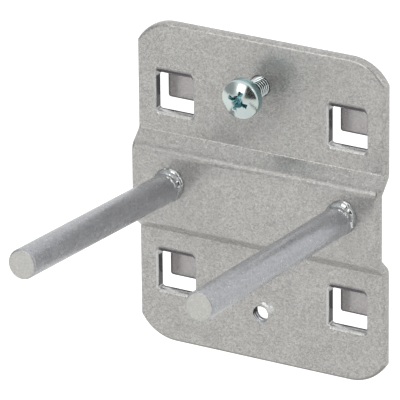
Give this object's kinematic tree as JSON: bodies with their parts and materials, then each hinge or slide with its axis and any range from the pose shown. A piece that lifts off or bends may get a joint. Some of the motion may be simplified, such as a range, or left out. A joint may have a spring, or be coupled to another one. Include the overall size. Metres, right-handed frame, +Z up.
{
  "type": "double tool hook",
  "caption": "Pressed steel panel hook with a pair of upward-tilted round bars welded to a raised band, lanced hooks at its back and a pan-head locking screw.",
  "frame": {"origin": "centre of the four-hook pattern, in the plane where the plate's back lies on the panel", "axes": "+Z up, +Y back into the panel, -Y out along the bars, +X to the right seen from the front"},
  "size_m": [0.0546, 0.0657, 0.0678],
  "materials": {
    "plated_sheet": "fine-grained satin zinc coat",
    "plated_bar": "satin zinc coat",
    "weld_metal": "bright rippled weld flash under the coat",
    "bright_zinc": "bright blue-passivated zinc plating"
  },
  "bodies": {
    "bracket": {"back_plate": "plated_sheet", "left_bar": "plated_bar", "right_bar": "plated_bar", "left_weld": "weld_metal", "right_weld": "weld_metal"},
    "screw": {"locking_screw": "bright_zinc"}
  },
  "joints": [
    {"name": "screw_travel", "type": "slide", "parent": "bracket", "child": "screw", "axis": [0, 1, 0], "range_m": [-0.001, 0.0062]}
  ]
}
